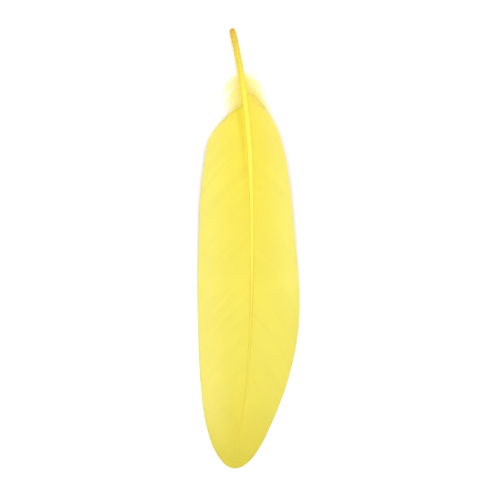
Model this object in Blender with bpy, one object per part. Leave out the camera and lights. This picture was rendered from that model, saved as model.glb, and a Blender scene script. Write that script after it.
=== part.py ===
"""A goose quill feather, dyed lemon yellow, lying on its underside.

It grew as one piece, so it is one solid: the quill and the shaft that carries it on, the two vanes
along the shaft's sides, and the loose down at their foot. Metres, +Z up. The quill points along +Y and
the tip along -Y, the upper side faces up, and the feather rests at z = 0 on the quill's end and on the
broader vane's edge towards the tip. The origin is under the middle of the feather's box.

A place on the feather is given by how far it lies along the shaft from the quill's end, and how far out
from the shaft. side is -1 for the broader vane, towards -X, and +1 for the narrower one.
"""

import math

import bmesh
import bpy
import numpy as np
from mathutils import Vector

# ---- driving dimensions ----
LENGTH = 0.170  # from the quill's end to the vanes' tip
BOW = 0.0077  # how far the shaft bends towards +X at its middle
BOW_ROUNDNESS = 2.6  # above 2 the bend gathers towards both ends
QUILL_RADIUS = 0.0012

# height of the vanes' surface over the shaft: (along, height)
ARCH = [
    (0.000, 0.0014),
    (0.020, 0.0036),
    (0.045, 0.0066),
    (0.064, 0.0073),
    (0.083, 0.0070),
    (0.103, 0.0060),
    (0.122, 0.0053),
    (0.140, 0.0041),
    (0.153, 0.0028),
    (0.162, 0.0016),
    (0.170, 0.0005),
]
CAMBER = {-1: 12.5, 1: 14.5}  # drop of each vane, per metre out squared

# the shaft: (along, half width, half height, how far its middle lies under the vanes' surface)
SHAFT = [
    (0.000, QUILL_RADIUS, QUILL_RADIUS, 0.00030),
    (0.022, QUILL_RADIUS, QUILL_RADIUS, 0.00030),
    (0.048, 0.00105, 0.00102, 0.00045),
    (0.075, 0.00074, 0.00080, 0.00042),
    (0.108, 0.00045, 0.00058, 0.00031),
    (0.140, 0.00026, 0.00040, 0.00018),
    (0.165, 0.00015, 0.00026, 0.00004),
    (0.170, 0.00012, 0.00020, 0.00000),
]
# the quill's blunt end with its navel: (depth from the end, share of the quill's radius)
QUILL_END = [(0.0009, 0.12), (0.0001, 0.34), (0.0, 0.66), (0.0003, 0.86), (0.0010, 0.96)]

# each vane's rim: (along, out, where on the shaft the barb that ends there grows)
RIMS = {
    -1: [
        (0.0320, 0.0055, 0.0293),
        (0.0365, 0.0115, 0.0302),
        (0.0420, 0.0155, 0.0319),
        (0.0510, 0.0177, 0.0366),
        (0.0640, 0.0197, 0.0441),
        (0.0830, 0.0207, 0.0598),
        (0.1030, 0.0210, 0.0777),
        (0.1220, 0.0199, 0.0970),
        (0.1400, 0.0175, 0.1170),
        (0.1530, 0.0142, 0.1320),
        (0.1615, 0.0103, 0.1430),
        (0.1667, 0.0063, 0.1515),
        (0.1692, 0.0030, 0.1580),
        (0.1699, 0.0012, 0.1606),
        (0.1700, 0.0001, 0.1620),
    ],
    1: [
        (0.0270, 0.0040, 0.0250),
        (0.0325, 0.0080, 0.0281),
        (0.0400, 0.0113, 0.0327),
        (0.0500, 0.0136, 0.0391),
        (0.0620, 0.0150, 0.0470),
        (0.0780, 0.0163, 0.0601),
        (0.0930, 0.0178, 0.0723),
        (0.1050, 0.0187, 0.0824),
        (0.1170, 0.0185, 0.0944),
        (0.1300, 0.0167, 0.1085),
        (0.1400, 0.0146, 0.1200),
        (0.1500, 0.0119, 0.1320),
        (0.1600, 0.0089, 0.1430),
        (0.1662, 0.0059, 0.1515),
        (0.1691, 0.0030, 0.1580),
        (0.1699, 0.0012, 0.1606),
        (0.1700, 0.0001, 0.1620),
    ],
}
BARB_CURL = 0.35  # share of a barb's run along the shaft that it gains late, by curving to the tip
BURIED = 0.3  # where in the shaft's half width a barb starts
MOST_BURIED = 0.3  # and at most this share of its length is in the shaft
VANE_ROOT = 0.0005  # the vanes' thickness at the shaft's foot
VANE_RIM = 0.0003  # and at their rim
VANE_TOP = 0.35  # share of that thickness above the vanes' surface, the rest hanging below
RIDGE = 0.00013  # how far the locked barbs stand up and down in turn
RIM_STEP = 0.00010  # how far every other lock reaches past its neighbours
VANE_LOCKS = 60  # locks of barbs drawn on each vane
VANE_STEPS = 6  # facets from the shaft to the rim

# the down: locks like small curling blades, the lowest first
DOWN_LOCKS = 11  # on each side
DOWN_START = 0.0180  # where the lowest lock grows
DOWN_PITCH = 0.00125
DOWN_LENGTH = (0.0108, 0.0138)  # of the shortest lock and the longest
DOWN_SPREAD = (69, 44)  # degrees from the shaft, for the lowest lock and the highest
DOWN_STRAY = 4  # degrees that a lock may lie off that
DOWN_CURL = 30  # degrees that a lock turns towards the feather's tip
DOWN_LIFT = 0.0011  # how far the locks' tips stand up and down in turn
DOWN_WIDE = 0.00085  # a lock's half width at its middle
DOWN_HIGH = 0.00028  # and its half height
DOWN_STEPS = 6
DOWN_SIDES = 6

SHAFT_SIDES = 14
SHAFT_PITCH = 0.0034  # between the shaft's rings

COLOUR = (0.93, 0.80, 0.10, 1.0)
ROUGHNESS = 0.6

UP = Vector((0, 0, 1))
GOLDEN = (math.sqrt(5) - 1) / 2


class Curve:
    """A smooth curve through points. The first number of each says where, and the others what is there."""

    def __init__(self, points):
        table = np.array(points)
        self.where = table[:, 0]
        self.what = table[:, 1:]
        self.slope = np.gradient(self.what, self.where, axis=0)

    def __call__(self, where):
        where = min(max(where, self.where[0]), self.where[-1])
        i = int(np.clip(np.searchsorted(self.where, where) - 1, 0, len(self.where) - 2))
        step = self.where[i + 1] - self.where[i]
        t = (where - self.where[i]) / step
        rise = t * t * (3 - 2 * t)
        value = self.what[i] * (1 - rise) + self.what[i + 1] * rise
        value = value + step * t * (1 - t) * ((1 - t) * self.slope[i] - t * self.slope[i + 1])
        return value if len(value) > 1 else float(value[0])


def along_itself(points):
    """Points with, in front, how far each lies along the line through them, from 0 to 1."""
    table = np.array(points)
    steps = np.hypot(np.diff(table[:, 0]), np.diff(table[:, 1]))
    far = np.concatenate([[0.0], np.cumsum(steps)])
    return np.column_stack([far / far[-1], table])


arch = Curve(ARCH)
shaft_section = Curve(SHAFT)
rims = {side: Curve(along_itself(points)) for side, points in RIMS.items()}


# ---- places on the feather ----
def lean(along):
    """How steeply the shaft runs towards +X, per metre along it."""
    bend = 1 - 2 * along / LENGTH
    return BOW * BOW_ROUNDNESS * math.copysign(abs(bend) ** (BOW_ROUNDNESS - 1), bend) * 2 / LENGTH


def place(along, out, rise=0.0):
    """The point at a distance along the shaft and out from it towards +X, above the vanes' surface."""
    bend = abs(1 - 2 * along / LENGTH) ** BOW_ROUNDNESS
    across = Vector((1, lean(along), 0)).normalized()
    camber = CAMBER[1 if out > 0 else -1]
    foot = Vector((BOW * (1 - bend), -along, arch(along) - camber * out * out + rise))
    return foot + across * out


def barb_point(side, reach, t):
    """How far along and out a barb is, at a share t of its length. reach says where on the rim it ends."""
    along, out, root = rims[side](reach)
    return root + (along - root) * t * (1 - BARB_CURL + BARB_CURL * t), out * t


# ---- solids ----
def solid(name, points, faces):
    """An object with one closed mesh, facing out."""
    mesh = bpy.data.meshes.new(name)
    mesh.from_pydata([tuple(p) for p in points], [], faces)
    bm = bmesh.new()
    bm.from_mesh(mesh)
    bmesh.ops.recalc_face_normals(bm, faces=bm.faces)
    bm.to_mesh(mesh)
    bm.free()
    ob = bpy.data.objects.new(name, mesh)
    bpy.context.collection.objects.link(ob)
    return ob


def lofted(name, rings):
    """A closed skin over rings of points, with a flat face on the first and the last."""
    sides = len(rings[0])
    faces = [tuple(range(sides)), tuple((len(rings) - 1) * sides + k for k in range(sides))]
    for r in range(len(rings) - 1):
        for k in range(sides):
            a, b = r * sides + k, r * sides + (k + 1) % sides
            faces.append((a, b, b + sides, a + sides))
    return solid(name, [p for ring in rings for p in ring], faces)


def ring(centre, ahead, wide, high, sides):
    """The points around a rod that runs ahead, with its half width and half height."""
    across = ahead.cross(UP).normalized()
    top = across.cross(ahead).normalized()
    turns = [2 * math.pi * k / sides for k in range(sides)]
    return [centre + across * wide * math.cos(a) + top * high * math.sin(a) for a in turns]


def shaft_ring(along, share=1.0):
    """The shaft's own ring there, or a share of it."""
    wide, high, sunk = shaft_section(along)
    ahead = place(along + 0.001, 0) - place(along, 0)
    return ring(place(along, 0, -sunk), ahead, wide * share, high * share, SHAFT_SIDES)


def shaft():
    """The quill, from the navel in its end, and the shaft that runs on from it to the tip."""
    rings = [shaft_ring(depth, share) for depth, share in QUILL_END]
    start, end = 2 * QUILL_RADIUS, SHAFT[-1][0]
    count = round((end - start) / SHAFT_PITCH)
    rings += [shaft_ring(start + (end - start) * k / count) for k in range(count + 1)]
    return lofted("shaft", rings)


def vane(side):
    """One vane: barbs locked side by side into a thin web, ridged along its locks."""
    top, bottom = [], []
    for row in range(VANE_LOCKS + 1):
        reach = row / VANE_LOCKS
        turn = 1 if row % 2 else -1
        out, root = rims[side](reach)[1:]
        inner = min(BURIED * shaft_section(root)[0] / out, MOST_BURIED)
        for step in range(VANE_STEPS + 1):
            t = inner + (1 - inner) * step / VANE_STEPS
            along, out = barb_point(side, reach, t)
            out += RIM_STEP * turn * t**6 * (0 < row < VANE_LOCKS)
            thick = VANE_ROOT + (VANE_RIM - VANE_ROOT) * max(t, along / LENGTH)
            rise = RIDGE * turn * math.sin(math.pi * (0.1 + 0.8 * t))  # lower at the shaft and the rim
            top.append(place(along, side * out, rise + thick * VANE_TOP))
            bottom.append(place(along, side * out, rise - thick * (1 - VANE_TOP)))
    wide, count = VANE_STEPS + 1, (VANE_STEPS + 1) * (VANE_LOCKS + 1)
    faces = []
    for row in range(VANE_LOCKS):
        for step in range(VANE_STEPS):
            a = row * wide + step
            faces.append((a, a + 1, a + 1 + wide, a + wide))
            faces.append((count + a, count + a + wide, count + a + 1 + wide, count + a + 1))
    border = [row * wide for row in range(VANE_LOCKS + 1)]
    border += [VANE_LOCKS * wide + step for step in range(1, wide)]
    border += [row * wide + VANE_STEPS for row in range(VANE_LOCKS - 1, -1, -1)]
    border += [step for step in range(VANE_STEPS - 1, 0, -1)]
    for a, b in zip(border, border[1:] + border[:1]):
        faces.append((a, b, count + b, count + a))
    return solid("vane", top + bottom, faces)


def down_lock(side, k):
    """A curling lock of down, k places up from the lowest one."""
    vary = (k * GOLDEN + 0.15 * side) % 1.0  # an even spread from 0 to 1, with no two alike
    root = DOWN_START + DOWN_PITCH * k
    length = DOWN_LENGTH[0] + (DOWN_LENGTH[1] - DOWN_LENGTH[0]) * vary
    lowest, highest = DOWN_SPREAD
    spread = lowest + (highest - lowest) * k / (DOWN_LOCKS - 1) + DOWN_STRAY * (2 * vary - 1)
    lift = DOWN_LIFT * (1 if k % 2 else -1)
    points = [place(root, 0)]
    along, out = root, 0.0
    for step in range(1, DOWN_STEPS + 1):
        t = step / DOWN_STEPS
        turn = math.radians(spread - DOWN_CURL * t)
        along += length / DOWN_STEPS * math.cos(turn)
        out += length / DOWN_STEPS * math.sin(turn)
        points.append(place(along, side * out, lift * t))
    rings = []
    for step, point in enumerate(points):
        ahead = points[min(step + 1, DOWN_STEPS)] - points[max(step - 1, 0)]
        size = math.sin(math.pi * (0.15 + 0.79 * step / DOWN_STEPS))  # slim at the root, a point at the tip
        rings.append(ring(point, ahead, DOWN_WIDE * size, DOWN_HIGH * size, DOWN_SIDES))
    return lofted("down", rings)


def grow_together(body, pieces):
    """Unites the pieces with the body, all at once, and takes them away."""
    bunch = bpy.data.collections.new("pieces")
    for piece in pieces:
        bunch.objects.link(piece)
    join = body.modifiers.new("join", "BOOLEAN")
    join.operation = "UNION"
    join.solver = "EXACT"
    join.operand_type = "COLLECTION"
    join.collection = bunch
    body.data = bpy.data.meshes.new_from_object(body.evaluated_get(bpy.context.evaluated_depsgraph_get()))
    body.modifiers.remove(join)
    for piece in pieces:
        bpy.data.objects.remove(piece)
    bpy.data.collections.remove(bunch)


def set_down(body):
    """Moves the mesh so that it rests at z = 0, with the origin under the middle of its box."""
    points = np.array([v.co for v in body.data.vertices])
    low, high = points.min(axis=0), points.max(axis=0)
    shift = Vector((-(low[0] + high[0]) / 2, -(low[1] + high[1]) / 2, -low[2]))
    for v in body.data.vertices:
        v.co += shift


def dyed_feather():
    """The lemon yellow of the whole feather."""
    mat = bpy.data.materials.new("dyed_feather")
    mat.use_nodes = True
    skin = mat.node_tree.nodes["Principled BSDF"]
    skin.inputs["Base Color"].default_value = COLOUR
    skin.inputs["Roughness"].default_value = ROUGHNESS
    skin.inputs["Metallic"].default_value = 0.0
    mat.diffuse_color = COLOUR
    return mat


def feather():
    """The whole feather, grown together into one solid."""
    body = shaft()
    locks = [down_lock(side, k) for side in (-1, 1) for k in range(DOWN_LOCKS)]
    grow_together(body, [vane(-1), vane(1)] + locks)
    set_down(body)
    body.name = body.data.name = "feather"
    body.data.materials.clear()
    body.data.materials.append(dyed_feather())
    body.data.shade_smooth()
    body.data.set_sharp_from_angle(angle=math.radians(35))
    return body


for old in list(bpy.data.objects):
    bpy.data.objects.remove(old)
feather()
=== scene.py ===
"""The looks of a goose quill feather, dyed lemon yellow, lying on a pale floor under soft studio light.

The barbs of both vanes, the down at their foot and the finished quill and shaft are meshes, built on the
curves that the solid feather was built on. Metres, +Z up, the quill's end towards +Y, the tip towards -Y.

A place on the feather is given by how far it lies along the shaft from the quill's end, how far out from
the shaft (+ towards +X), and how far it rises above the vanes' surface. side is -1 or 1, for -X or +X.
"""

import math

import bmesh
import bpy
import numpy as np
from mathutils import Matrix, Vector


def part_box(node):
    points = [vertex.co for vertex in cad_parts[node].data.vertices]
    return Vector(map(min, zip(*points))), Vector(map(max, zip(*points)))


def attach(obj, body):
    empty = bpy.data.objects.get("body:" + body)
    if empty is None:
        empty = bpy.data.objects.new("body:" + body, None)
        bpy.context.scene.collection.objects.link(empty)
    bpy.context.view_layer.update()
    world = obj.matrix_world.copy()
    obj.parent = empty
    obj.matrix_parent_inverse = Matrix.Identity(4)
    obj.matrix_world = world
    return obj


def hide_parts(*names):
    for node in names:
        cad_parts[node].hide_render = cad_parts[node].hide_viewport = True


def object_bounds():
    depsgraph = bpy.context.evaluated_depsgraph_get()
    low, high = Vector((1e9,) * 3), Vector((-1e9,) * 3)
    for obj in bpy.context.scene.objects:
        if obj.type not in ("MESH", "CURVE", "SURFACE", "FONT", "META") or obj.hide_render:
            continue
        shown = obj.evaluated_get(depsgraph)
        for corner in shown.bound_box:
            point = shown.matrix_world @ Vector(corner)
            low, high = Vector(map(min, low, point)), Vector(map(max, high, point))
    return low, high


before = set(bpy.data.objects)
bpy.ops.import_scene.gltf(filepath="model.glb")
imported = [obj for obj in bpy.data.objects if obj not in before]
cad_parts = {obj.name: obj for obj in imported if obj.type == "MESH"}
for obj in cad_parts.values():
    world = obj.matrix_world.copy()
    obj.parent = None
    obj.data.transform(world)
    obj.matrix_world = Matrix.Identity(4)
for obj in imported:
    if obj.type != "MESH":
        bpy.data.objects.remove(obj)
CAD_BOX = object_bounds()
NODE, BODY, SLOT = "feather", "root", "feather"
MAP_NAME = "OFBake"  # the flat map that an export may bake on

# ---- the feather's form ----
LENGTH = 0.170  # from the quill's end to the vanes' tip
BOW = 0.0077  # how far the shaft bends towards +X at its middle
BOW_ROUNDNESS = 2.6  # above 2 the bend gathers towards both ends

# height of the vanes' surface over the shaft: (along, height)
ARCH = [
    (0.000, 0.0014),
    (0.020, 0.0036),
    (0.045, 0.0066),
    (0.064, 0.0073),
    (0.083, 0.0070),
    (0.103, 0.0060),
    (0.122, 0.0053),
    (0.140, 0.0041),
    (0.153, 0.0028),
    (0.162, 0.0016),
    (0.170, 0.0005),
]
CAMBER = {-1: 12.5, 1: 14.5}  # drop of each vane, per metre out squared

# the shaft: (along, half width, half height, how far its middle lies under the vanes' surface)
SHAFT = [
    (0.000, 0.00120, 0.00120, 0.00030),
    (0.022, 0.00120, 0.00120, 0.00030),
    (0.048, 0.00105, 0.00102, 0.00045),
    (0.075, 0.00074, 0.00080, 0.00042),
    (0.108, 0.00045, 0.00058, 0.00031),
    (0.140, 0.00026, 0.00040, 0.00018),
    (0.165, 0.00015, 0.00026, 0.00004),
    (0.170, 0.00012, 0.00020, 0.00000),
]
SHAFT_END = 0.1668  # from here the shaft is lost among the barbs
SHAFT_POINT = 0.0140  # length of the taper before that
# the quill's blunt end, from inside its pit outwards: (depth from the end, share of the quill's radius)
QUILL_END = [
    (0.0042, 0.05),
    (0.0038, 0.22),
    (0.0014, 0.27),
    (0.0005, 0.31),
    (0.00015, 0.38),
    (0.0000, 0.50),
    (0.00002, 0.62),
    (0.00015, 0.74),
    (0.00045, 0.85),
    (0.0009, 0.92),
    (0.0016, 0.97),
    (0.0026, 1.00),
]
PIT_RINGS = 5  # of these, how many are inside the pit

# each vane's rim: (along, out, where on the shaft the barb that ends there grows)
RIMS = {
    -1: [
        (0.0320, 0.0055, 0.0293),
        (0.0365, 0.0115, 0.0302),
        (0.0420, 0.0155, 0.0319),
        (0.0510, 0.0177, 0.0366),
        (0.0640, 0.0197, 0.0441),
        (0.0830, 0.0207, 0.0598),
        (0.1030, 0.0210, 0.0777),
        (0.1220, 0.0199, 0.0970),
        (0.1400, 0.0175, 0.1170),
        (0.1530, 0.0142, 0.1320),
        (0.1615, 0.0103, 0.1430),
        (0.1667, 0.0063, 0.1515),
        (0.1692, 0.0030, 0.1580),
        (0.1699, 0.0012, 0.1606),
        (0.1700, 0.0001, 0.1620),
    ],
    1: [
        (0.0270, 0.0040, 0.0250),
        (0.0325, 0.0080, 0.0281),
        (0.0400, 0.0113, 0.0327),
        (0.0500, 0.0136, 0.0391),
        (0.0620, 0.0150, 0.0470),
        (0.0780, 0.0163, 0.0601),
        (0.0930, 0.0178, 0.0723),
        (0.1050, 0.0187, 0.0824),
        (0.1170, 0.0185, 0.0944),
        (0.1300, 0.0167, 0.1085),
        (0.1400, 0.0146, 0.1200),
        (0.1500, 0.0119, 0.1320),
        (0.1600, 0.0089, 0.1430),
        (0.1662, 0.0059, 0.1515),
        (0.1691, 0.0030, 0.1580),
        (0.1699, 0.0012, 0.1606),
        (0.1700, 0.0001, 0.1620),
    ],
}
BARB_CURL = 0.35  # share of a barb's run along the shaft that it gains late, by curving to the tip

# ---- the barbs of the vanes ----
BARBS = 400  # on each vane
BARB_STEPS = 25
STEPS_TO_TIP = 1.5  # above 1 the steps get shorter towards a barb's tip
ROOT_SHARE = 0.25  # how far the barbs' spacing evens out at the shaft, the rest being at the rim
BURIED = 0.3  # where in the shaft's half width a barb starts
MOST_BURIED = 0.3  # and at most this share of its length is in the shaft
WEB_OVERLAP = 1.22  # a barb's width with its barbules, in spacings
WEB_LEAST = 0.00001  # added to the web's half width, which so never vanishes
WEB_THICK = 0.000024
WEB_LIFT = 0.00003  # the web's far edge lies over the next barb and its near edge under the last
RAMUS_HALF = 0.000045  # half width of a barb's own stem
RAMUS_TOP = (0.00009, 0.00004)  # how far the stem stands above the web, at the shaft and at the rim
RAMUS_KEEL = (0.00022, 0.00006)  # and below it
BARB_POINT = 0.0005  # length of the point at a barb's tip
BARBULE_ROWS = 0.085  # millimetres from one drawn row of barbules to the next

# how unevenly they lie
LOCK, ZONE = 7, 36  # barbs that lean and rise together, in small locks and in broad zones
LOCK_WAVE, ZONE_WAVE = 0.00006, 0.00013  # how far these rise and sink
LOCK_RUN, OWN_RUN = 0.00008, 0.00012  # how far the tips of a lock, and each tip alone, stray lengthwise
OUT_VARY = 0.003  # share by which a lock, and each barb alone, reach further out or less far
LOOSE = 0.085  # share of each rim, at the vane's foot, where the barbs come apart
LOOSE_RUN, LOOSE_RISE = 0.0008, 0.0005  # how far a loose tip strays besides, lengthwise and up or down
LOOSE_OUT = 0.05  # and the share by which it reaches further out or less far
LOOSE_GAP = 0.55  # share of its web's width that a loose tip lacks

# ---- the finer form of the quill and shaft ----
SHAFT_SIDES = 36
SHAFT_RINGS = 400
SHAFT_UNEVEN = 0.012  # share by which the thickness wanders
SHAFT_GROWN = (0.024, 0.050)  # between these the round quill turns into the square-set shaft
SHAFT_SQUARE = 0.28  # how square-set that is, where 0 is round
GROOVE_DEEP, GROOVE_WIDE = 0.45, 0.33  # in the shaft's half heights and half widths
NAVEL = 0.0185  # where the quill ends: a small pit in the shaft's underside, as deep as the groove
NAVEL_LONG = 0.0006
NAVEL_WIDE = 0.28  # in the shaft's half widths
CAP_PITCH = 0.0017  # between the dried caps of pith that show through the quill

# ---- the down ----
DOWN_BARBS = 84  # on each side
DOWN_STEPS = 12
DOWN_PLACE = (0.0178, 0.0345)  # where on the shaft the lowest and the highest grow
ROOT_STRAY = 0.0003  # how far they are off an even spacing
DOWN_LENGTH = 0.0118
LENGTH_VARY = (0.62, 1.10)  # shares of that length
DOWN_SPREAD = (72, 40)  # degrees from the shaft, for the lowest barbs and the highest
SPREAD_STRAY = 14  # degrees
DOWN_CURL = 38  # degrees that a barb turns towards the feather's tip
CURL_VARY = (0.3, 1.5)  # shares of that turn
DOWN_LIFT = 0.0014  # how far a barb's tip rises or sinks
WAVE_TURN = 9  # degrees that a barb waves to the sides
WAVE_RISE = 0.0003  # and how far it waves up and down
DOWN_STEM = 0.000032  # radius of a down barb's stem
BARBULE_PITCH = 0.00016
BARBULE_LENGTH = 0.0014
BARBULE_VARY = (0.5, 1.15)  # shares of that length
BARBULE_RADIUS = 0.000012
HAIR_SIDES = 3  # of the stems and the barbules

UP = (0.0, 0.0, 1.0)
SEED = 7


# ---- curves ----
class Curve:
    """A smooth curve through points. The first number of each says where, and the others what is there."""

    def __init__(self, points):
        table = np.array(points, float)
        self.where = table[:, 0]
        self.what = table[:, 1:]
        self.slope = np.gradient(self.what, self.where, axis=0)

    def __call__(self, where):
        where = np.clip(where, self.where[0], self.where[-1])
        i = np.clip(np.searchsorted(self.where, where) - 1, 0, len(self.where) - 2)
        step = self.where[i + 1] - self.where[i]
        t = ((where - self.where[i]) / step)[..., None]
        rise = t * t * (3 - 2 * t)
        bulge = step[..., None] * t * (1 - t) * ((1 - t) * self.slope[i] - t * self.slope[i + 1])
        value = self.what[i] * (1 - rise) + self.what[i + 1] * rise + bulge
        return value[..., 0] if value.shape[-1] == 1 else np.moveaxis(value, -1, 0)


def along_itself(points):
    """Points with, in front, how far each lies along the line through them, from 0 to 1."""
    table = np.array(points)
    steps = np.hypot(np.diff(table[:, 0]), np.diff(table[:, 1]))
    far = np.concatenate([[0.0], np.cumsum(steps)])
    return np.column_stack([far / far[-1], table])


def fade(x, low, high):
    """0 below low, 1 above high, and smooth between."""
    t = np.clip((x - low) / (high - low), 0, 1)
    return t * t * (3 - 2 * t)


def part_way(ends, t):
    """Even steps from the first of two numbers, at t = 0, to the second, at t = 1."""
    return ends[0] + (ends[1] - ends[0]) * t


def unit(v):
    """Vectors of length 1."""
    return v / np.linalg.norm(v, axis=-1, keepdims=True)


def uneven(rng, count, period):
    """A row of numbers from -1 to 1 that wander, with a new one every period."""
    knots = rng.uniform(-1, 1, count // period + 2)
    return np.interp(np.arange(count) / period, np.arange(len(knots)), knots)


arch = Curve(ARCH)
shaft_section = Curve(SHAFT)
rims = {side: Curve(along_itself(points)) for side, points in RIMS.items()}


# ---- places on the feather ----
def on_curve(along, out, rise=0.0):
    """Points in the feather's own frame, whose origin is at the quill's end."""
    along, out, rise = np.broadcast_arrays(*(np.asarray(v, float) for v in (along, out, rise)))
    bend = 1 - 2 * along / LENGTH
    lean = BOW * BOW_ROUNDNESS * np.sign(bend) * np.abs(bend) ** (BOW_ROUNDNESS - 1) * 2 / LENGTH
    size = np.hypot(1, lean)
    camber = np.where(out > 0, CAMBER[1], CAMBER[-1])
    x = BOW * (1 - np.abs(bend) ** BOW_ROUNDNESS) + out / size
    y = -along + out * lean / size
    return np.stack([x, y, arch(along) - camber * out * out + rise], axis=-1)


def set_down():
    """How far the CAD moved the feather to stand its box over the origin, read back from that box."""
    low, high = (np.array(corner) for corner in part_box(NODE))
    reach = np.linspace(0, 1, 400)
    rim_x = np.concatenate([on_curve(rims[s](reach)[0], s * rims[s](reach)[1])[:, 0] for s in (-1, 1)])
    along = np.linspace(0, LENGTH, 400)
    _, half, sunk = shaft_section(along)
    top = (arch(along) + half - sunk).max()
    return np.array([(low[0] + high[0] - rim_x.min() - rim_x.max()) / 2, low[1] + LENGTH, high[2] - top])


SET_DOWN = set_down()


def place(along, out, rise=0.0):
    """Points in the frame's own coordinates."""
    return on_curve(along, out, rise) + SET_DOWN


# ---- meshes ----
def mesh_object(name, points, faces, corners, attributes, material):
    """A smooth-shaded object from arrays, with named numbers on its points, that rides with the feather.

    corners says where each corner of the faces lies on a flat map of the surface, which an export can bake
    the material on.
    """
    mesh = bpy.data.meshes.new(name)
    mesh.from_pydata(points.reshape(-1, 3).tolist(), [], faces)
    mesh.uv_layers.new(name=MAP_NAME).data.foreach_set("uv", corners.astype(np.float32).ravel())
    for key, values in attributes.items():
        layer = mesh.attributes.new(key, "FLOAT", "POINT")
        values = np.broadcast_to(values, points.shape[:-1])
        layer.data.foreach_set("value", values.astype(np.float32).ravel())
    mesh.shade_smooth()
    mesh.materials.append(material)
    ob = bpy.data.objects.new(name, mesh)
    bpy.context.collection.objects.link(ob)
    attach(ob, BODY)
    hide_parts(NODE)


def rods(count, rings, sides, first=0):
    """The faces of closed rods, whose points are numbered rod by rod, ring by ring."""
    faces = []
    for rod in range(count):
        start = first + rod * rings * sides
        last = start + (rings - 1) * sides
        faces.append(tuple(range(start + sides - 1, start - 1, -1)))
        faces.append(tuple(range(last, last + sides)))
        for a in range(start, last, sides):
            for k in range(sides):
                b = a + (k + 1) % sides
                faces.append((a + k, b, b + sides, a + k + sides))
    return faces


def strips(count, rings, across):
    """The map for the same rods' corners, a strip to each rod, in the order of its faces.

    across says where in its strip each side of the rod begins and, last, where the last one ends.
    """
    across = np.array(across, float)
    near, far = across[:-1], across[1:]
    one = [np.stack([0 * near, near[::-1]], axis=-1), np.stack([0 * near + 1, near], axis=-1)]
    for ring in range(rings - 1):
        start, end = np.full((2, len(near)), [[ring], [ring + 1]]) / (rings - 1)
        quad = [(start, near), (start, far), (end, far), (end, near)]
        one.append(np.stack([np.stack(corner, axis=-1) for corner in quad], axis=1).reshape(-1, 2))
    one = np.concatenate(one)
    every = np.tile(one, (count, 1, 1))
    every[..., 1] = (every[..., 1] + np.arange(count)[:, None]) / count
    return every.reshape(-1, 2)


# ---- the vanes ----
def barb_ends(side):
    """Where on the rim the barbs end, from 0 at the vane's foot to 1 at its tip."""
    fine = np.linspace(0, 1, 2000)
    root = rims[side](fine)[2]
    even = ROOT_SHARE * (root - root[0]) / (root[-1] - root[0]) + (1 - ROOT_SHARE) * fine
    return np.interp(np.linspace(0, 1, BARBS), even, fine)


def blade(t, length, spacing, loose):
    """A barb's section, as places beside and above its centre line: a stem with a web on each side."""
    point = np.clip(length * (1 - t) / BARB_POINT, 0.02, 1) ** 0.7  # below 1 only at the barb's tip
    web = 0.5 * WEB_OVERLAP * spacing * point
    web = web * (1 - LOOSE_GAP * loose * fade(t, 0.5, 1.0)) + WEB_LEAST
    stem = np.minimum(RAMUS_HALF * (1.2 - 0.6 * t) * point, 0.5 * web)
    crest = part_way(RAMUS_TOP, t) * point
    keel = part_way(RAMUS_KEEL, t) * point
    lift = WEB_LIFT * point
    thin = WEB_THICK / 2 * point
    return [
        (web, lift + thin),
        (stem, crest),
        (-stem, crest),
        (-web, thin - lift),
        (-web, -thin - lift),
        (0 * web, -keel),
        (web, lift - thin),
    ]


# how much each point of that section counts as web: 0 on the stem, 1 at the web's edges
BLADE_EDGE = np.array([1.0, 0.0, 0.0, 1.0, 1.0, 0.3, 1.0])
# where each side of the section begins in the blade's strip of the flat map, and where the last one ends
BLADE_MAP = [1.0, 0.57, 0.43, 0.0, 0.0, 0.5, 1.0, 1.0]


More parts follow.
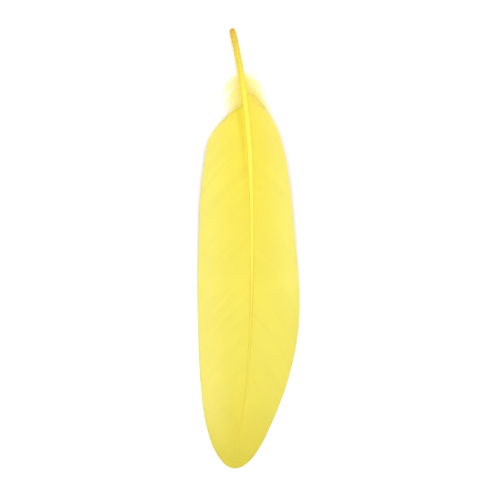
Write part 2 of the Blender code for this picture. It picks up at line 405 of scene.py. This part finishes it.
def vane(side, material):
    """One vane: every barb is a closed blade with a raised stem, and lies over the one before it."""
    rng = np.random.default_rng(SEED + side)
    reach = barb_ends(side)
    along, out, root = rims[side](reach)
    # small unevenness, of locks and zones of barbs and of each barb alone
    lock, zone, own = (uneven(rng, BARBS, period) for period in (LOCK, ZONE, 1))
    own = own * (1 - fade(reach, 0.97, 1.0))  # at the feather's tip no barb strays alone
    loose = 1 - fade(reach, 0.0, LOOSE)
    run = along - root + LOCK_RUN * lock + OWN_RUN * own + loose * LOOSE_RUN * own
    out = out * (1 + OUT_VARY * lock + OUT_VARY * own + LOOSE_OUT * loose * own)
    lock, zone, own, loose = (values[:, None] for values in (lock, zone, own, loose))
    # centre lines
    inner = np.minimum(BURIED * shaft_section(root)[0] / out, MOST_BURIED)[:, None]
    t = inner + (1 - inner) * (1 - (1 - np.linspace(0, 1, BARB_STEPS)) ** STEPS_TO_TIP)
    a = root[:, None] + run[:, None] * t * (1 - BARB_CURL + BARB_CURL * t)
    o = out[:, None] * t
    belly = np.sin(math.pi * t) * fade(reach, 0.0, 0.12)[:, None]
    rise = (LOCK_WAVE * lock + ZONE_WAVE * zone) * belly + loose * LOOSE_RISE * own * t**2
    centre = place(a, side * o, rise)
    # each point's own axes: ahead along the barb, far towards the next barb, and up from the vane
    ahead = unit(np.gradient(centre, axis=1))
    apart = np.gradient(place(a, side * o), axis=0)
    up = np.cross(ahead, apart)
    spacing = np.linalg.norm(up, axis=-1)
    up = unit(up * np.sign(up[..., 2:3]))
    far = np.cross(up, ahead)
    far = far * np.sign((far * apart).sum(-1, keepdims=True))
    length = np.linalg.norm(np.diff(centre, axis=1), axis=-1).sum(axis=1)[:, None]
    section = blade(t, length, spacing, loose)
    points = np.stack([centre + far * b[..., None] + up * c[..., None] for b, c in section], axis=2)
    attributes = {
        "along": (a / LENGTH)[..., None],
        "outward": t[..., None],
        "right": max(side, 0),
        "tone": (0.5 * lock + 0.3 * zone + 0.2 * own)[..., None],
        "web": BLADE_EDGE,
        "run": (t * length)[..., None] * 1000,  # in millimetres
    }
    name = "vane_left" if side < 0 else "vane_right"
    faces = rods(BARBS, BARB_STEPS, len(section))
    corners = strips(BARBS, BARB_STEPS, BLADE_MAP)
    mesh_object(name, points, faces, corners, attributes, material)


# ---- the quill and shaft ----
def shaft_lines(along):
    """The middle of the shaft, with the directions across it and up from it."""
    line = np.linspace(0, LENGTH, 800)
    heading = unit(np.gradient(place(line, 0, -shaft_section(line)[2]), axis=0))
    ahead = unit(np.stack([np.interp(along, line, heading[:, k]) for k in range(3)], axis=-1))
    across = unit(np.cross(ahead, UP))
    return place(along, 0, -shaft_section(along)[2]), across, np.cross(across, ahead)


def shaft(material):
    """The bare quill with the pit in its end, and the shaft with its groove underneath."""
    rng = np.random.default_rng(SEED + 10)
    # the rings of the blunt end, and even ones from there on
    depth, share = np.array(QUILL_END).T
    along = np.concatenate([depth, np.linspace(depth[-1] + 0.0004, SHAFT_END, SHAFT_RINGS)])
    share = np.concatenate([share, np.ones(SHAFT_RINGS)])
    share = share * np.sqrt(np.clip((SHAFT_END - along) / SHAFT_POINT, 0.0004, 1))
    share[len(depth):] *= 1 + SHAFT_UNEVEN * uneven(rng, SHAFT_RINGS, 9)
    turn = np.linspace(0, 2 * math.pi, SHAFT_SIDES, endpoint=False)[None, :]
    grown = fade(along, *SHAFT_GROWN)[:, None]
    power = 1 - SHAFT_SQUARE * grown
    c = np.sign(np.cos(turn)) * np.abs(np.cos(turn)) ** power
    s = np.sign(np.sin(turn)) * np.abs(np.sin(turn)) ** power
    groove = grown * GROOVE_DEEP * np.exp(-((c / GROOVE_WIDE) ** 2)) * (s < 0)
    # the navel lies in line with the groove
    navel = np.exp(-(((along[:, None] - NAVEL) / NAVEL_LONG) ** 2) - (c / NAVEL_WIDE) ** 2)
    groove = groove + GROOVE_DEEP * navel * (s < 0)
    s = s * (1 - groove)
    wide, high, _ = shaft_section(along)
    centre, across, top = shaft_lines(along)
    reach_x = (wide * share)[:, None, None] * c[..., None]
    reach_z = (high * share)[:, None, None] * s[..., None]
    points = centre[:, None] + across[:, None] * reach_x + top[:, None] * reach_z
    attributes = {
        "along": along[:, None] / LENGTH,
        "inside": (np.arange(len(along)) < PIT_RINGS)[:, None],
        "around_x": np.cos(turn),
        "around_y": np.sin(turn),
    }
    faces = rods(1, len(along), SHAFT_SIDES)
    corners = strips(1, len(along), np.linspace(0, 1, SHAFT_SIDES + 1))
    mesh_object("shaft", points, faces, corners, attributes, material)


# ---- the down ----
def down_barbs(side, rng):
    """The centre lines of the down barbs on one side, and how long each barb is."""
    k = np.linspace(0, 1, DOWN_BARBS)
    root = part_way(DOWN_PLACE, k) + rng.uniform(-1, 1, DOWN_BARBS) * ROOT_STRAY
    length = DOWN_LENGTH * rng.uniform(*LENGTH_VARY, DOWN_BARBS) * (0.8 + 0.2 * fade(k, 0.0, 0.3))
    spread = part_way(DOWN_SPREAD, k) + rng.uniform(-SPREAD_STRAY, SPREAD_STRAY, DOWN_BARBS)
    curl = DOWN_CURL * rng.uniform(*CURL_VARY, DOWN_BARBS)
    wander = rng.uniform(0, 2 * math.pi, DOWN_BARBS)[:, None]
    # where the vane stands over them, the barbs hang below it
    foot = rims[side](0.0)[2]
    lift = DOWN_LIFT * (rng.uniform(-1, 1, DOWN_BARBS) - 1.5 * fade(root, foot - 0.005, foot))
    t = np.linspace(0, 1, DOWN_STEPS)[None, :]
    turn = np.radians(spread[:, None] - curl[:, None] * t + WAVE_TURN * np.sin(7 * t + wander))
    step = length[:, None] / (DOWN_STEPS - 1)
    a = root[:, None] + np.cumsum(step * np.cos(turn), axis=1) - step * np.cos(turn)
    o = np.cumsum(step * np.sin(turn), axis=1) - step * np.sin(turn)
    rise = lift[:, None] * np.sin(1.7 * t) + WAVE_RISE * np.sin(6 * t + wander) * t
    return place(a, side * o, rise), length


def hair(spot, across, top, radius):
    """The ring of points that a hair has at each spot."""
    angles = np.linspace(0, 2 * math.pi, HAIR_SIDES, endpoint=False)
    ring = [spot + (across * math.cos(w) + top * math.sin(w)) * radius for w in angles]
    return np.stack(ring, axis=-2)


def barbules(rng, centre, length, ahead, across, top):
    """Two rows of barbules along each down barb, every one bent once on its way."""
    count = (length / BARBULE_PITCH).astype(int)
    barb = np.repeat(np.arange(DOWN_BARBS), 2 * count)
    number = len(barb)
    row = np.where(np.arange(number) % 2, 1.0, -1.0)[:, None]
    at = np.concatenate([np.linspace(0.02, 0.995, 2 * n) for n in count]) * (DOWN_STEPS - 1)
    low = np.clip(at.astype(int), 0, DOWN_STEPS - 2)
    past = (at - low)[:, None]
    foot = centre[barb, low] * (1 - past) + centre[barb, low + 1] * past
    ahead, across, top = (axis[barb, low] for axis in (ahead, across, top))
    aim = row * across * 0.8 + ahead * rng.uniform(0.4, 1.0, (number, 1))
    aim = unit(aim + top * rng.uniform(-0.55, 0.55, (number, 1)))
    bend = unit(aim + ahead * 0.7 + rng.uniform(-0.5, 0.5, (number, 3)))
    size = BARBULE_LENGTH * rng.uniform(*BARBULE_VARY, (number, 1))
    size = size * (1 - 0.55 * at[:, None] / (DOWN_STEPS - 1))  # shorter towards the barb's tip
    middle = foot + aim * size * 0.5
    tip = middle + bend * size * 0.5
    aside = unit(np.cross(aim, top + 0.01))  # a little off top, which aim could be parallel to
    above = np.cross(aside, aim)
    rings = [
        hair(foot, aside, above, BARBULE_RADIUS),
        hair(middle, aside, above, 0.75 * BARBULE_RADIUS),
        hair(tip, aside, above, 0.2 * BARBULE_RADIUS),
    ]
    return np.stack(rings, axis=1)


def down(side, material):
    """Loose down barbs, each a fine curling stem with two rows of hair-thin, drooping barbules."""
    rng = np.random.default_rng(SEED + 20 + side)
    centre, length = down_barbs(side, rng)
    ahead = unit(np.gradient(centre, axis=1))
    across = unit(np.cross(ahead, UP))
    top = np.cross(across, ahead)
    thick = DOWN_STEM * (1.0 - 0.75 * np.linspace(0, 1, DOWN_STEPS))[None, :, None]
    stems = hair(centre, across, top, thick)
    fluff = barbules(rng, centre, length, ahead, across, top)
    number, rings = fluff.shape[:2]
    points = np.concatenate([stems.reshape(-1, 3), fluff.reshape(-1, 3)])
    faces = rods(DOWN_BARBS, DOWN_STEPS, HAIR_SIDES)
    faces += rods(number, rings, HAIR_SIDES, first=stems.size // 3)
    # the stems take the flat map's lower half, and the barbules the upper one
    around = np.linspace(0, 1, HAIR_SIDES + 1)
    corners = [strips(DOWN_BARBS, DOWN_STEPS, around), strips(number, rings, around)]
    corners = np.concatenate([half * (1.0, 0.5) + (0.0, 0.5 * k) for k, half in enumerate(corners)])
    name = "down_left" if side < 0 else "down_right"
    mesh_object(name, points, faces, corners, {}, material)


# ---- materials ----
def srgb(red, green, blue):
    """A colour given as it looks on a screen, 0 to 255, as the shaders take it."""
    def linear(v):
        v /= 255
        return v / 12.92 if v <= 0.04045 else ((v + 0.055) / 1.055) ** 2.4

    return (linear(red), linear(green), linear(blue), 1.0)


class Nodes:
    """Short names for building one material's nodes."""

    def __init__(self, name):
        self.material = bpy.data.materials.new(name)
        self.material.use_nodes = True
        self.tree = self.material.node_tree
        self.shader = self.tree.nodes["Principled BSDF"]
        self.output = self.tree.nodes["Material Output"]

    def link(self, source, target):
        self.tree.links.new(source, target)

    def give(self, socket, value):
        """A socket gets a number or a colour, or a link."""
        if isinstance(value, (int, float, tuple)):
            socket.default_value = value
        else:
            self.link(value, socket)

    def set_shader(self, **values):
        """Gives the shader's sockets their values. An underscore in a name stands for a space."""
        for name, value in values.items():
            self.give(self.shader.inputs[name.replace("_", " ")], value)

    def attribute(self, name):
        n = self.tree.nodes.new("ShaderNodeAttribute")
        n.attribute_name = name
        return n.outputs["Fac"]

    def math(self, operation, a, b=0.0):
        n = self.tree.nodes.new("ShaderNodeMath")
        n.operation = operation
        self.give(n.inputs[0], a)
        self.give(n.inputs[1], b)
        return n.outputs[0]

    def times(self, a, b):
        return self.math("MULTIPLY", a, b)

    def plus(self, a, b):
        return self.math("ADD", a, b)

    def minus(self, a, b):
        return self.math("SUBTRACT", a, b)

    def between(self, value, low, high):
        """0 at low, 1 at high, smooth between. low may be the greater of the two."""
        n = self.tree.nodes.new("ShaderNodeMapRange")
        n.interpolation_type = "SMOOTHSTEP"
        self.link(value, n.inputs["Value"])
        n.inputs["From Min"].default_value = low
        n.inputs["From Max"].default_value = high
        return n.outputs["Result"]

    def ramp(self, value, stops):
        n = self.tree.nodes.new("ShaderNodeValToRGB")
        elements = n.color_ramp.elements
        elements[0].position, elements[0].color = stops[0]
        elements[1].position, elements[1].color = stops[-1]
        for position, colour in stops[1:-1]:
            elements.new(position).color = colour
        self.link(value, n.inputs["Fac"])
        return n.outputs["Color"]

    def mix(self, share, a, b, blend="MIX"):
        n = self.tree.nodes.new("ShaderNodeMix")
        n.data_type = "RGBA"
        n.blend_type = blend
        for socket, value in zip((n.inputs[0], n.inputs[6], n.inputs[7]), (share, a, b)):
            self.give(socket, value)
        return n.outputs[2]

    def combine(self, x, y, z):
        n = self.tree.nodes.new("ShaderNodeCombineXYZ")
        for socket, value in zip(n.inputs, (x, y, z)):
            self.give(socket, value)
        return n.outputs[0]

    def shaded(self, colour, shade):
        """The colour times a number."""
        return self.mix(1.0, colour, self.combine(shade, shade, shade), "MULTIPLY")

    def noise(self, vector, scale, detail=3.0):
        n = self.tree.nodes.new("ShaderNodeTexNoise")
        n.inputs["Scale"].default_value = scale
        n.inputs["Detail"].default_value = detail
        self.link(vector, n.inputs["Vector"])
        return n.outputs["Fac"]

    def bump(self, height, strength, distance):
        n = self.tree.nodes.new("ShaderNodeBump")
        n.inputs["Strength"].default_value = strength
        n.inputs["Distance"].default_value = distance
        self.link(height, n.inputs["Height"])
        self.link(n.outputs["Normal"], self.shader.inputs["Normal"])

    def let_light_through(self, share, colour):
        """Mixes in light from behind, which a thin web lets through."""
        glow = self.tree.nodes.new("ShaderNodeBsdfTranslucent")
        self.give(glow.inputs["Color"], colour)
        both = self.tree.nodes.new("ShaderNodeMixShader")
        both.inputs[0].default_value = share
        self.link(self.shader.outputs[0], both.inputs[1])
        self.link(glow.outputs[0], both.inputs[2])
        self.link(both.outputs[0], self.output.inputs["Surface"])


def vane_material():
    """Matt dyed barbs: deeper by the shaft, partly painted shade, paler outwards with painted light, olive
    at the tip, each lock its own tone.
    """
    n = Nodes("feather_vane")
    names = ("along", "outward", "right", "tone", "web", "run")
    along, outward, right, tone, web, run = (n.attribute(name) for name in names)
    body = n.ramp(
        along,
        [
            (0.18, srgb(234, 217, 78)),
            (0.30, srgb(233, 219, 78)),
            (0.55, srgb(231, 218, 86)),
            (0.72, srgb(228, 216, 88)),
            (0.84, srgb(223, 210, 82)),
            (0.92, srgb(216, 201, 70)),
            (1.00, srgb(208, 194, 64)),
        ],
    )
    deep_tone_and_shade = n.mix(0.5, body, srgb(231, 209, 54))
    painted_rim_light = n.mix(0.6, body, srgb(241, 230, 126))
    # the deeper tone beside the shaft, partly dye and partly painted shade of the raised shaft, weakens
    # towards the tip
    strength = n.plus(n.times(n.between(along, 0.55, 0.33), 0.7), 0.3)
    beside = n.times(n.between(outward, 0.30, 0.02), strength)
    colour = n.mix(beside, body, deep_tone_and_shade)
    # painted light: the outer parts of the webs are paler, as if lit through and along the bent-down rims;
    # neither vane has it at the tip, and the narrower one only up to its widest point
    past_widest = n.times(n.times(right, n.between(along, 0.52, 0.72)), 0.9)
    share = n.times(n.between(along, 1.00, 0.86), 0.85)
    share = n.times(share, n.minus(1.0, past_widest))
    colour = n.mix(n.times(n.between(outward, 0.30, 0.95), share), colour, painted_rim_light)
    # painted shade: the shade of a furrow in the broader vane, beside the shaft near the foot, is drawn in
    # colour only
    painted_furrow_shade = n.times(n.between(along, 0.145, 0.185), n.between(along, 0.375, 0.250))
    painted_furrow_shade = n.times(painted_furrow_shade, n.times(n.between(run, 1.6, 2.7), n.between(run, 5.3, 3.4)))
    painted_furrow_shade = n.times(painted_furrow_shade, n.minus(1.0, right))
    colour = n.mix(painted_furrow_shade, colour, srgb(224, 208, 51))
    patch = n.noise(n.combine(n.times(along, 9.0), n.times(tone, 0.8), outward), 1.6)
    # rows of barbules slant outwards from each barb's stem, on both sides of it
    slanted = n.minus(n.times(run, 1 / BARBULE_ROWS), n.times(web, 1.1))
    barbules = n.math("SINE", n.times(slanted, 2 * math.pi))
    shade = n.plus(n.times(tone, 0.022), n.times(n.minus(patch, 0.5), 0.10))
    shade = n.plus(shade, n.times(barbules, 0.03))
    shade = n.minus(n.plus(shade, 1.0), n.times(web, 0.05))
    colour = n.shaded(colour, shade)
    n.set_shader(Base_Color=colour, Roughness=0.62, Specular_IOR_Level=0.3)
    n.set_shader(Sheen_Weight=0.12, Sheen_Roughness=0.45)
    n.bump(barbules, 0.5, 0.00001)
    n.let_light_through(0.08, n.mix(1.0, colour, srgb(255, 240, 150), "MULTIPLY"))
    return n.material


def shaft_material():
    """Smooth horn: amber at the quill's end and bright lemon on the shaft, with fine long streaks."""
    n = Nodes("feather_shaft")
    along = n.attribute("along")
    colour = n.ramp(
        along,
        [
            (0.000, srgb(198, 150, 28)),
            (0.015, srgb(208, 172, 32)),
            (0.050, srgb(214, 190, 38)),
            (0.100, srgb(219, 200, 43)),
            (0.145, srgb(229, 214, 64)),
            (0.500, srgb(229, 210, 68)),
            (0.620, srgb(218, 200, 66)),
            (0.780, srgb(213, 197, 66)),
            (1.000, srgb(206, 192, 64)),
        ],
    )
    around = n.combine(n.attribute("around_x"), n.attribute("around_y"), n.times(along, 6.0))
    streaks = n.noise(around, 3.5, 4.0)
    hairlines = n.noise(around, 17.0, 2.0)
    # the dried caps of pith inside the clear quill show as faint bands
    wander = n.times(n.noise(around, 1.5), 2.5)
    caps = n.math("SINE", n.plus(n.times(along, 2 * math.pi * LENGTH / CAP_PITCH), wander))
    caps = n.times(n.between(caps, 0.2, 1.0), n.between(along, 0.13, 0.09))
    shade = n.plus(n.times(n.minus(streaks, 0.5), 0.18), 1.0)
    shade = n.plus(shade, n.times(n.minus(hairlines, 0.5), 0.16))
    shade = n.minus(shade, n.times(caps, 0.07))
    colour = n.shaded(colour, shade)
    colour = n.mix(n.attribute("inside"), colour, srgb(112, 76, 28))
    # the bare quill is polished, and the shaft between the vanes duller
    rough = n.plus(n.times(n.between(along, 0.11, 0.20), 0.16), n.times(streaks, 0.16))
    n.set_shader(Base_Color=colour, Roughness=n.plus(rough, 0.14), Specular_IOR_Level=0.45)
    n.set_shader(Subsurface_Weight=0.2, Subsurface_Radius=(1.0, 0.7, 0.2), Subsurface_Scale=0.0006)
    n.bump(n.plus(streaks, n.times(hairlines, 0.5)), 0.4, 0.00004)
    return n.material


def down_material():
    """Pale, fluffy barbs that let much light through, with a faint painted glow that stands in for the
    light they pass to each other.
    """
    n = Nodes("feather_down")
    n.set_shader(Base_Color=srgb(255, 246, 128), Roughness=0.7, Sheen_Weight=0.15)
    # painted glow: the down gives off a little light of its own
    n.set_shader(Emission_Color=srgb(255, 238, 100), Emission_Strength=0.24)
    n.let_light_through(0.5, srgb(255, 248, 135))
    return n.material


# ---- the studio ----
def lay_floor():
    """A near-white floor. Far off, where the lamps don't reach, it glows as white as the tent."""
    mesh = bpy.data.meshes.new("floor")
    bm = bmesh.new()
    bmesh.ops.create_grid(bm, x_segments=1, y_segments=1, size=6.0)
    bm.to_mesh(mesh)
    bm.free()
    floor = bpy.data.objects.new("floor", mesh)
    bpy.context.collection.objects.link(floor)
    n = Nodes("floor")
    spot = n.tree.nodes.new("ShaderNodeTexCoord")
    away = n.tree.nodes.new("ShaderNodeVectorMath")
    away.operation = "LENGTH"
    n.link(spot.outputs["Object"], away.inputs[0])
    glow = n.between(away.outputs["Value"], 0.4, 2.0)
    n.set_shader(Base_Color=(0.93, 0.93, 0.93, 1.0), Roughness=0.9, Specular_IOR_Level=0.1)
    n.set_shader(Emission_Color=(1.0, 1.0, 1.0, 1.0), Emission_Strength=glow)
    mesh.materials.append(n.material)


def hang_tent():
    """A bright tent all around, white at the horizon and softer overhead."""
    world = bpy.data.worlds.new("studio")
    bpy.context.scene.world = world
    world.use_nodes = True
    nodes, links = world.node_tree.nodes, world.node_tree.links
    direction = nodes.new("ShaderNodeTexCoord")
    split = nodes.new("ShaderNodeSeparateXYZ")
    height = nodes.new("ShaderNodeMapRange")
    height.interpolation_type = "SMOOTHSTEP"
    for name, value in (("From Min", 0.05), ("From Max", 0.7), ("To Min", 1.05), ("To Max", 0.62)):
        height.inputs[name].default_value = value
    links.new(direction.outputs["Generated"], split.inputs[0])
    links.new(split.outputs["Z"], height.inputs["Value"])
    links.new(height.outputs["Result"], nodes["Background"].inputs["Strength"])
    nodes["Background"].inputs["Color"].default_value = (1.0, 1.0, 1.0, 1.0)


def set_lamps():
    """Two broad lamps above, turned to the feather."""
    for name, spot, width, watts in (
        ("key", (0.55, 0.35, 1.15), 1.2, 10.0),
        ("fill", (-0.6, -0.4, 1.2), 1.4, 9.5),
    ):
        lamp = bpy.data.lights.new(name, "AREA")
        lamp.size = width
        lamp.energy = watts
        ob = bpy.data.objects.new(name, lamp)
        ob.location = spot
        ob.rotation_mode = "QUATERNION"
        ob.rotation_quaternion = (-Vector(spot)).to_track_quat("-Z", "Y")
        bpy.context.collection.objects.link(ob)


def set_camera():
    """Looks straight down, with the tip at the bottom and the feather filling the picture's height."""
    lens, sensor, share = 85.0, 36.0, 0.90
    low, high = CAD_BOX
    lens_data = bpy.data.cameras.new("camera")
    lens_data.lens, lens_data.sensor_width = lens, sensor
    ob = bpy.data.objects.new("camera", lens_data)
    distance = (high.y - low.y) / share * lens / sensor
    ob.location = ((low.x + high.x) / 2, (low.y + high.y) / 2, distance + high.z)
    bpy.context.collection.objects.link(ob)
    bpy.context.scene.camera = ob
    lens_data.clip_start, lens_data.clip_end = 0.01, 20.0


bpy.context.scene.view_settings.view_transform = "Standard"
lay_floor()
hang_tent()
set_lamps()
set_camera()
barb_skin = vane_material()
down_skin = down_material()
shaft(shaft_material())
for side in (-1, 1):
    vane(side, barb_skin)
    down(side, down_skin)
